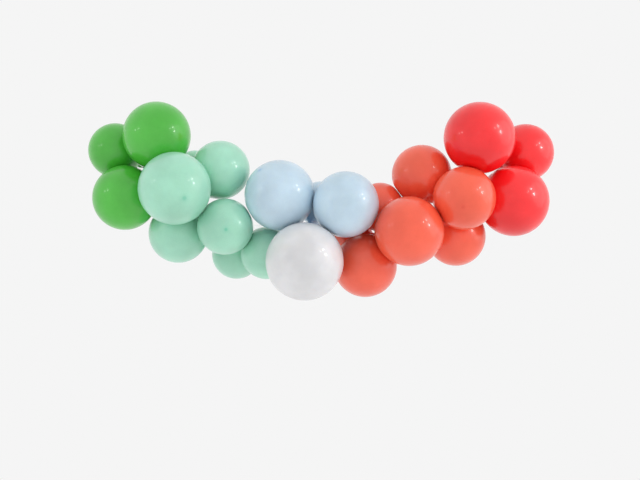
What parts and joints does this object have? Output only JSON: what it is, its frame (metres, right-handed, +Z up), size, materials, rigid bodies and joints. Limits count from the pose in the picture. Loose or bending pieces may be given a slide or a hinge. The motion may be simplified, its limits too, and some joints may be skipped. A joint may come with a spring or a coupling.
{
  "type": "balloon garland",
  "caption": "Hanging garland of round latex balloons, held by their knotted necks in a clear keyhole strip with a flat hook tab at each end.",
  "frame": {"origin": "back face of the strip's left end tab, beside the keyhole that takes the left hook, in the plane of the wall", "axes": "+X along the garland to the right hook, +Y into the wall, +Z up"},
  "size_m": [1.5501, 0.4836, 0.6364],
  "materials": {
    "clear_plastic": "clear, glossy, thin film",
    "green_latex": "glossy inflated latex",
    "mint_latex": "glossy inflated latex",
    "blue_latex": "glossy inflated latex",
    "white_latex": "glossy inflated latex",
    "coral_latex": "glossy inflated latex",
    "red_latex": "glossy inflated latex"
  },
  "bodies": {
    "root": {"decorating_strip": "clear_plastic", "green_balloon_1": "green_latex", "green_balloon_2": "green_latex", "green_balloon_3": "green_latex", "mint_balloon_1": "mint_latex", "mint_balloon_2": "mint_latex", "mint_balloon_3": "mint_latex", "mint_balloon_4": "mint_latex", "mint_balloon_5": "mint_latex", "mint_balloon_6": "mint_latex", "mint_balloon_7": "mint_latex", "blue_balloon_1": "blue_latex", "blue_balloon_2": "blue_latex", "blue_balloon_3": "blue_latex", "white_balloon": "white_latex", "coral_balloon_1": "coral_latex", "coral_balloon_2": "coral_latex", "coral_balloon_3": "coral_latex", "coral_balloon_4": "coral_latex", "coral_balloon_5": "coral_latex", "coral_balloon_6": "coral_latex", "coral_balloon_7": "coral_latex", "red_balloon_1": "red_latex", "red_balloon_2": "red_latex", "red_balloon_3": "red_latex"}
  },
  "joints": []
}
